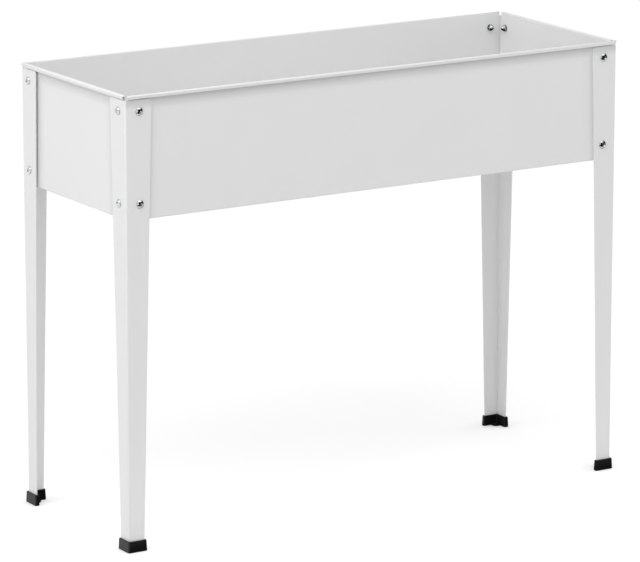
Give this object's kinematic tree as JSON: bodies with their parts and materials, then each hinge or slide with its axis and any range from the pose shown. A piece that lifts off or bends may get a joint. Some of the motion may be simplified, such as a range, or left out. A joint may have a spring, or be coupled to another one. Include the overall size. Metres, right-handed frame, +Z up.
{
  "type": "raised garden bed",
  "caption": "Raised garden bed: an open rectangular sheet-steel trough for soil with a folded rim, bolted to tapered angle legs that stand in moulded foot caps.",
  "frame": {"origin": "on the ground under the middle of the bed, in the plane of the foot caps' soles", "axes": "+X along the bed's length to the right, +Y from the front to the back, +Z up"},
  "size_m": [1.022, 0.378, 0.8],
  "materials": {
    "powder_coat": "white polyester powder coat on steel sheet, satin",
    "foot_rubber": "moulded, satin black",
    "bright_plating": "bright plated steel"
  },
  "bodies": {
    "root": {"panel_front": "powder_coat", "panel_back": "powder_coat", "panel_left": "powder_coat", "panel_right": "powder_coat", "floor_panel": "powder_coat", "leg_front_left": "powder_coat", "leg_front_right": "powder_coat", "leg_back_right": "powder_coat", "leg_back_left": "powder_coat", "foot_front_left": "foot_rubber", "foot_front_right": "foot_rubber", "foot_back_right": "foot_rubber", "foot_back_left": "foot_rubber", "bolts_front_left": "bright_plating", "bolts_front_right": "bright_plating", "bolts_back_right": "bright_plating", "bolts_back_left": "bright_plating", "washers_front_left": "bright_plating", "washers_front_right": "bright_plating", "washers_back_right": "bright_plating", "washers_back_left": "bright_plating", "cap_nuts_front_left": "bright_plating", "cap_nuts_front_right": "bright_plating", "cap_nuts_back_right": "bright_plating", "cap_nuts_back_left": "bright_plating"}
  },
  "joints": []
}
